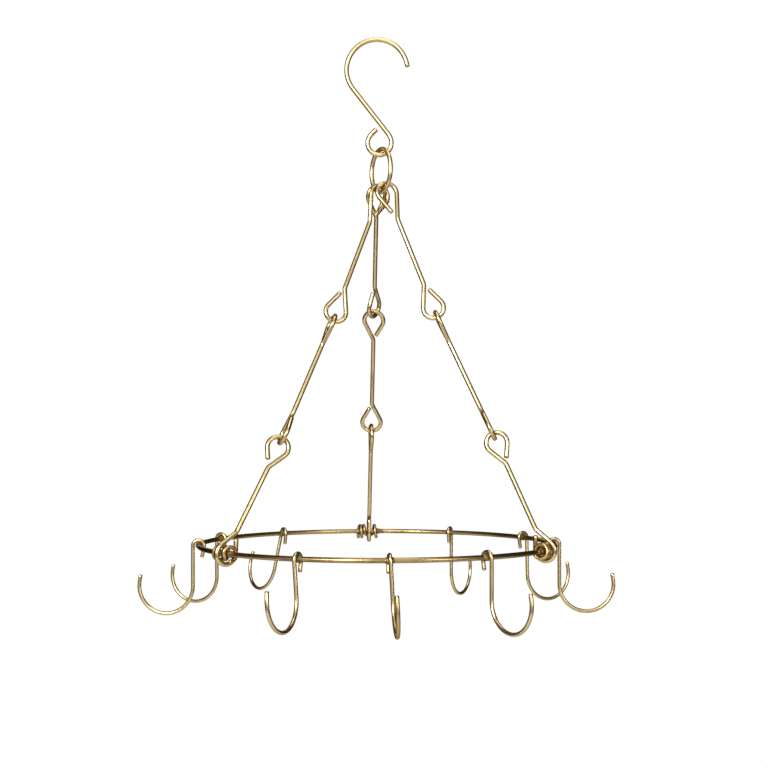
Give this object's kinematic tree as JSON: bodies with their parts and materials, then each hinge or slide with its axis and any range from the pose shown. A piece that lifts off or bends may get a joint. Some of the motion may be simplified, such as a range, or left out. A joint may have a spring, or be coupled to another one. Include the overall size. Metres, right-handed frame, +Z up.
{
  "type": "hanging utensil rack",
  "caption": "Hanging wire utensil rack: a round hoop with open hooks, carried by three jointed link chains, an oval link and a large S-shaped hanger hook.",
  "frame": {"origin": "inside of the hanger hook's bow, where the rack hangs", "axes": "+Z up through the rack, -Y towards its front, +X to the right seen from the front"},
  "size_m": [0.307, 0.2906, 0.3749],
  "materials": {
    "brass_wire": "satin antique brass wire, rubbed bright, darker in the bends",
    "brass_binding": "brass binding wire, browned by the brazing heat"
  },
  "bodies": {
    "hanger_hook": {"hanger_hook": "brass_wire"},
    "oval_link": {"oval_link": "brass_wire"},
    "hoop": {"hoop": "brass_wire", "utensil_hook_1": "brass_wire", "utensil_hook_2": "brass_wire", "utensil_hook_3": "brass_wire", "utensil_hook_4": "brass_wire", "utensil_hook_5": "brass_wire", "utensil_hook_6": "brass_wire", "utensil_hook_7": "brass_wire", "utensil_hook_8": "brass_wire", "utensil_hook_9": "brass_wire", "left_binding": "brass_binding", "right_binding": "brass_binding", "back_binding": "brass_binding"},
    "left_upper_link": {"left_upper_link": "brass_wire"},
    "left_middle_link": {"left_middle_link": "brass_wire"},
    "left_lower_link": {"left_lower_link": "brass_wire"},
    "right_upper_link": {"right_upper_link": "brass_wire"},
    "right_middle_link": {"right_middle_link": "brass_wire"},
    "right_lower_link": {"right_lower_link": "brass_wire"},
    "back_upper_link": {"back_upper_link": "brass_wire"},
    "back_middle_link": {"back_middle_link": "brass_wire"},
    "back_lower_link": {"back_lower_link": "brass_wire"}
  },
  "joints": [
    {"name": "oval_swing", "type": "hinge", "parent": "hanger_hook", "child": "oval_link", "pos_m": [0.0016, 0, -0.0731], "axis": [1, 0, 0], "range_deg": [-45, 45]},
    {"name": "hoop_lift", "type": "slide", "parent": "oval_link", "child": "hoop", "axis": [0, 0, 1], "range_m": [0, 0.016]},
    {"name": "left_upper_fold", "type": "hinge", "parent": "oval_link", "child": "left_upper_link", "pos_m": [0.0026, 0, -0.09703], "axis": [0.6266, -0.7793, 0], "range_deg": [-15.59, 0]},
    {"name": "left_middle_fold", "type": "hinge", "parent": "left_upper_link", "child": "left_middle_link", "pos_m": [-0.02675, -0.02284, -0.17943], "axis": [0.6266, -0.7793, 0], "range_deg": [0, 40.26]},
    {"name": "left_lower_fold", "type": "hinge", "parent": "left_middle_link", "child": "left_lower_link", "pos_m": [-0.05878, -0.04786, -0.25906], "axis": [0.6266, -0.7793, 0], "range_deg": [-40.26, 0]},
    {"name": "right_upper_fold", "type": "hinge", "parent": "oval_link", "child": "right_upper_link", "pos_m": [0.00533, -0.00437, -0.0956], "axis": [0.4384, 0.8988, 0], "range_deg": [-16.58, 0]},
    {"name": "right_middle_fold", "type": "hinge", "parent": "right_upper_link", "child": "right_middle_link", "pos_m": [0.03687, -0.01912, -0.1768], "axis": [0.4384, 0.8988, 0], "range_deg": [0, 43.17]},
    {"name": "right_lower_fold", "type": "hinge", "parent": "right_middle_link", "child": "right_lower_link", "pos_m": [0.07295, -0.0361, -0.25629], "axis": [0.4384, 0.8988, 0], "range_deg": [-43.17, 0]},
    {"name": "back_upper_fold", "type": "hinge", "parent": "oval_link", "child": "back_upper_link", "pos_m": [-0.00013, 0.00437, -0.0956], "axis": [-0.9983, -0.0576, 0], "range_deg": [-15.72, 0]},
    {"name": "back_middle_fold", "type": "hinge", "parent": "back_upper_link", "child": "back_middle_link", "pos_m": [-0.00223, 0.04008, -0.17027], "axis": [-0.9983, -0.0576, 0], "range_deg": [0, 40.58]},
    {"name": "back_lower_fold", "type": "hinge", "parent": "back_middle_link", "child": "back_lower_link", "pos_m": [-0.00449, 0.07863, -0.2509], "axis": [-0.9983, -0.0576, 0], "range_deg": [-40.58, 0]}
  ],
  "couplings": [
    {"joint": "left_upper_fold", "follows": "hoop_lift", "rad_per_m": -17.004},
    {"joint": "left_middle_fold", "follows": "hoop_lift", "rad_per_m": 43.916},
    {"joint": "left_lower_fold", "follows": "hoop_lift", "rad_per_m": -43.916},
    {"joint": "right_upper_fold", "follows": "hoop_lift", "rad_per_m": -18.079},
    {"joint": "right_middle_fold", "follows": "hoop_lift", "rad_per_m": 47.09},
    {"joint": "right_lower_fold", "follows": "hoop_lift", "rad_per_m": -47.09},
    {"joint": "back_upper_fold", "follows": "hoop_lift", "rad_per_m": -17.138},
    {"joint": "back_middle_fold", "follows": "hoop_lift", "rad_per_m": 44.265},
    {"joint": "back_lower_fold", "follows": "hoop_lift", "rad_per_m": -44.265}
  ]
}
